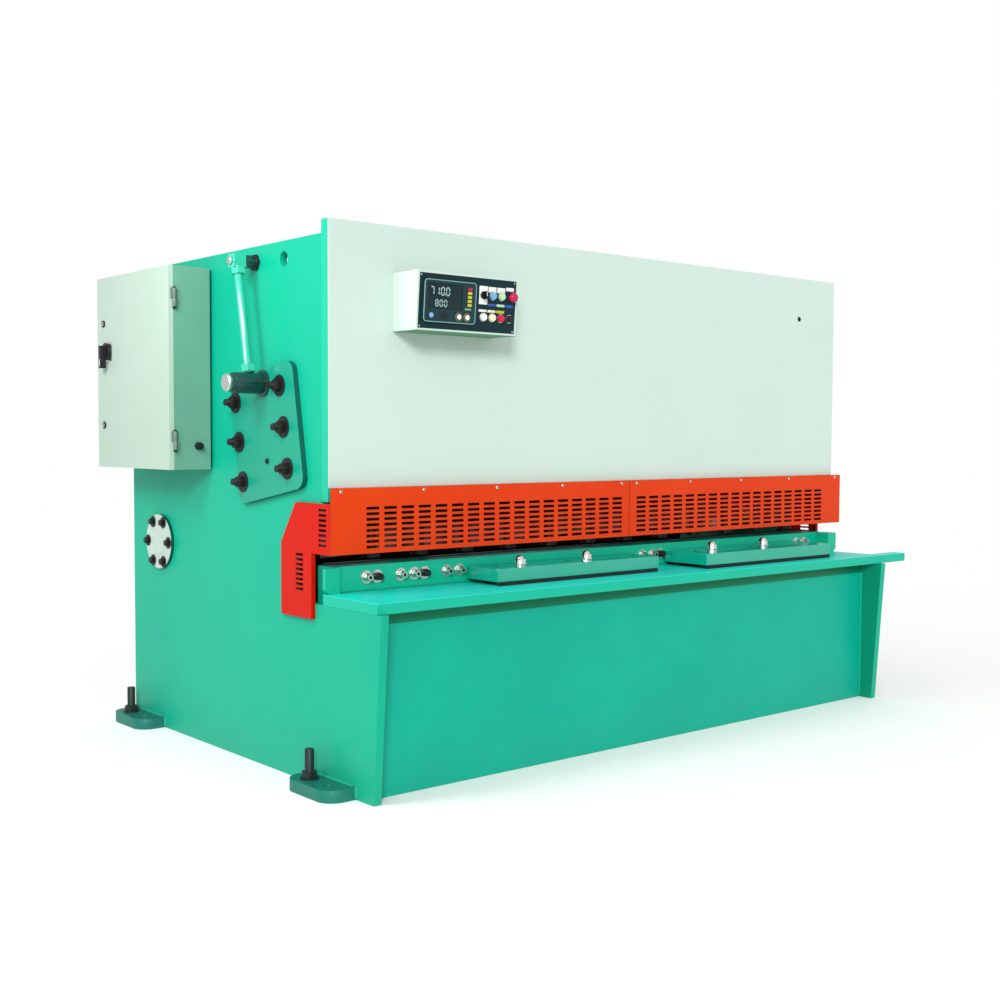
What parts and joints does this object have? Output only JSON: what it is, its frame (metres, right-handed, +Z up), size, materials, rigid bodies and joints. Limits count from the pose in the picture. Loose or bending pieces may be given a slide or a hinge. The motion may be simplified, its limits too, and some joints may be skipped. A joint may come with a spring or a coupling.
{
  "type": "swing beam shear",
  "caption": "Hydraulic swing beam shear for sheet metal: teal steel frame, pale front cover, red slotted finger guard, bed with table blocks, control box and side switch cabinet.",
  "frame": {"origin": "on the floor, in the middle of the four anchor holes in the foot lugs", "axes": "+X along the machine to the right as the operator sees it, +Y to the rear, +Z up"},
  "size_m": [3.025, 1.707, 1.81],
  "materials": {
    "frame_green": "semi-gloss teal green enamel, sprayed",
    "pale_enamel": "semi-gloss pale greenish white enamel",
    "guard_red": "semi-gloss red-orange enamel",
    "tool_steel": "ground tool steel",
    "bright_steel": "turned and ground steel",
    "black_oxide": "black oxide on steel",
    "black_plastic": "moulded plastic, fine matt grain",
    "panel_black": "dark blue-black matt panel",
    "button_colours": "moulded push button heads",
    "red_plastic": "moulded red mushroom head",
    "motor_grey": "sprayed enamel on cast iron"
  },
  "bodies": {
    "frame": {"side_plate_left": "frame_green", "side_plate_right": "frame_green", "foot_lugs": "frame_green", "bed_front_plate": "frame_green", "bed_ribs": "frame_green", "table_plate": "frame_green", "lower_knife_beam": "frame_green", "beam_end_blocks": "frame_green", "table_block_left": "frame_green", "table_block_right": "frame_green", "swing_beam_face": "frame_green", "swing_beam_web": "frame_green", "swing_arms": "frame_green", "cylinder_plates": "frame_green", "main_cylinders": "frame_green", "pipe_unions": "frame_green", "hold_down_beam": "frame_green", "cover_edge_bars": "frame_green", "front_top_rail": "frame_green", "oil_tank": "frame_green", "back_gauge_bar": "frame_green", "rear_chute": "frame_green", "rear_cross_beam": "frame_green", "front_cover": "pale_enamel", "control_box": "pale_enamel", "cabinet_body": "pale_enamel", "pivot_caps": "pale_enamel", "guard_panel_left": "guard_red", "guard_panel_right": "guard_red", "guard_sides": "guard_red", "lower_blade": "tool_steel", "upper_blade": "tool_steel", "ball_units": "bright_steel", "pivot_pins": "bright_steel", "cylinder_rods": "bright_steel", "oil_pipes": "bright_steel", "hold_down_cylinders": "bright_steel", "hold_down_feet": "bright_steel", "back_gauge_rails": "bright_steel", "levelling_screws": "black_oxide", "controller": "black_plastic", "cabinet_gland": "black_plastic", "control_panel": "panel_black", "push_buttons": "button_colours", "pump_motor": "motor_grey"},
    "cabinet_door": {"cabinet_door": "pale_enamel", "door_locks": "black_oxide"},
    "main_switch": {"main_switch": "black_plastic"},
    "selector_knob": {"selector_knob": "black_plastic"},
    "emergency_stop": {"emergency_stop": "red_plastic"}
  },
  "joints": [
    {"name": "cabinet_door_hinge", "type": "hinge", "parent": "frame", "child": "cabinet_door", "pos_m": [-1.472, 0.171, 1.357], "axis": [0, 0, 1], "range_deg": [0, 110]},
    {"name": "main_switch_turn", "type": "hinge", "parent": "cabinet_door", "child": "main_switch", "pos_m": [-1.491, 0.685, 1.441], "axis": [1, 0, 0], "range_deg": [0, 90]},
    {"name": "selector_turn", "type": "hinge", "parent": "frame", "child": "selector_knob", "pos_m": [-0.8, -0.71007, 1.5946], "axis": [0, -0.9969, -0.0787], "range_deg": [-45, 45]},
    {"name": "emergency_stop_press", "type": "slide", "parent": "frame", "child": "emergency_stop", "axis": [0, 0.9969, 0.0787], "range_m": [0, 0.006]}
  ]
}
